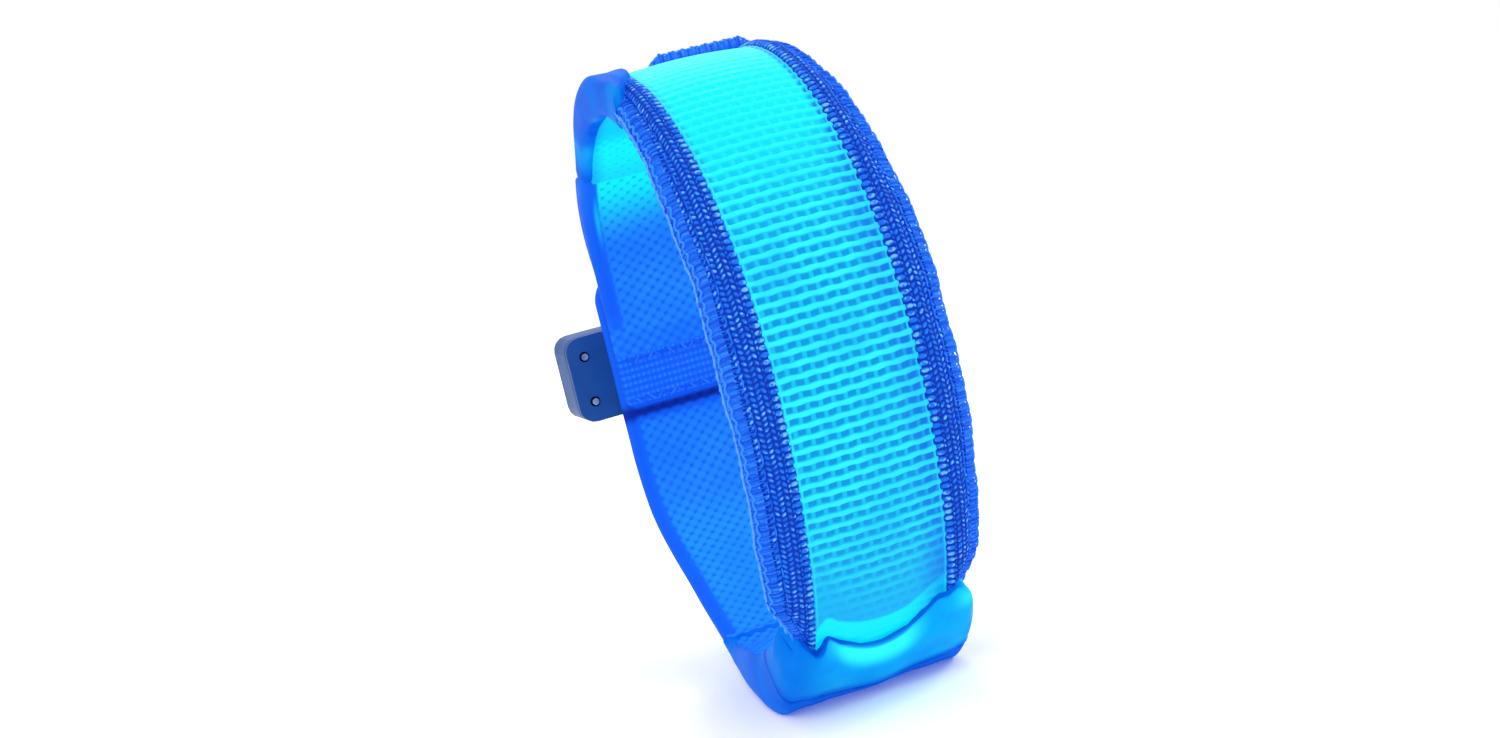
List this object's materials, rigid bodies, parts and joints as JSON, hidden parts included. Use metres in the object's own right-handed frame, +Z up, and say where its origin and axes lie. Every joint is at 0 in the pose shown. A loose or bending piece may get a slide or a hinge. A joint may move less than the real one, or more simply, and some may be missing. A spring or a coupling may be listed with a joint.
{
  "type": "light-up leg band",
  "caption": "Soft fabric leg band with a lit mesh window, woven edges, hook-and-loop closing strap and a small battery case with button and tray.",
  "frame": {"origin": "bottom centre of the bounding box, on the surface that the band stands on", "axes": "+X along the ring's axis (the leg's axis), -Y towards the lit window, +Z up"},
  "size_m": [0.042, 0.0886, 0.0991],
  "materials": {
    "window_mesh": "satin",
    "light_guide": "satin",
    "reflector_film": "gloss",
    "inner_lining": "matte",
    "edge_webbing": "matte",
    "overlock_thread": "matte",
    "smooth_pocket": "satin",
    "strap_fabric": "matte",
    "hook_loop_tape": "matte",
    "case_plastic": "satin",
    "button_rubber": "matte",
    "circuit_board": "satin",
    "led_lens": "gloss",
    "wire_insulation": "satin",
    "black_plastic": "matte",
    "contact_steel": "satin",
    "coin_cell": "satin"
  },
  "bodies": {
    "light_band": {"outer_mesh_cover": "window_mesh", "left_edge_webbing": "edge_webbing", "right_edge_webbing": "edge_webbing", "left_overlock_edge": "overlock_thread", "right_overlock_edge": "overlock_thread", "light_guide": "light_guide", "reflector_film": "reflector_film", "inner_mesh_lining": "inner_lining", "top_pocket_cover": "smooth_pocket", "top_pocket_lining": "smooth_pocket", "top_led_board": "circuit_board", "top_led": "led_lens", "bottom_pocket_cover": "smooth_pocket", "bottom_pocket_lining": "smooth_pocket", "bottom_led_board": "circuit_board", "bottom_led": "led_lens", "left_band_wire": "wire_insulation", "right_band_wire": "wire_insulation", "base_strap": "strap_fabric"},
    "upper_flap": {"upper_flap": "inner_lining", "upper_end_tab": "edge_webbing", "loop_tape": "hook_loop_tape"},
    "closing_strap": {"closing_strap": "strap_fabric", "hook_tape": "hook_loop_tape", "strap_wire_pair": "wire_insulation", "case_base_plate": "case_plastic", "case_outer_shell": "case_plastic", "control_board": "circuit_board", "tactile_switch": "black_plastic", "controller_chip": "black_plastic", "negative_contact": "contact_steel", "positive_contact": "contact_steel", "case_screw_1": "contact_steel", "case_screw_2": "contact_steel"},
    "push_button": {"push_button_cap": "button_rubber"},
    "battery_tray": {"battery_tray": "case_plastic", "coin_cell": "coin_cell"}
  },
  "joints": [
    {"name": "closing_strap_fold", "type": "hinge", "parent": "light_band", "child": "closing_strap", "pos_m": [0, 0.02098, 0.01347], "axis": [-1, 0, 0], "range_deg": [0, 78]},
    {"name": "upper_flap_fold", "type": "hinge", "parent": "light_band", "child": "upper_flap", "pos_m": [0, 0.02471, 0.08316], "axis": [-1, 0, 0], "range_deg": [0, 35]},
    {"name": "push_button_travel", "type": "slide", "parent": "closing_strap", "child": "push_button", "axis": [0, -1, 0], "range_m": [0, 0.0006], "stiffness_N_per_m": 1500},
    {"name": "battery_tray_slide", "type": "slide", "parent": "closing_strap", "child": "battery_tray", "axis": [1, 0, 0], "range_m": [0, 0.0125]}
  ]
}
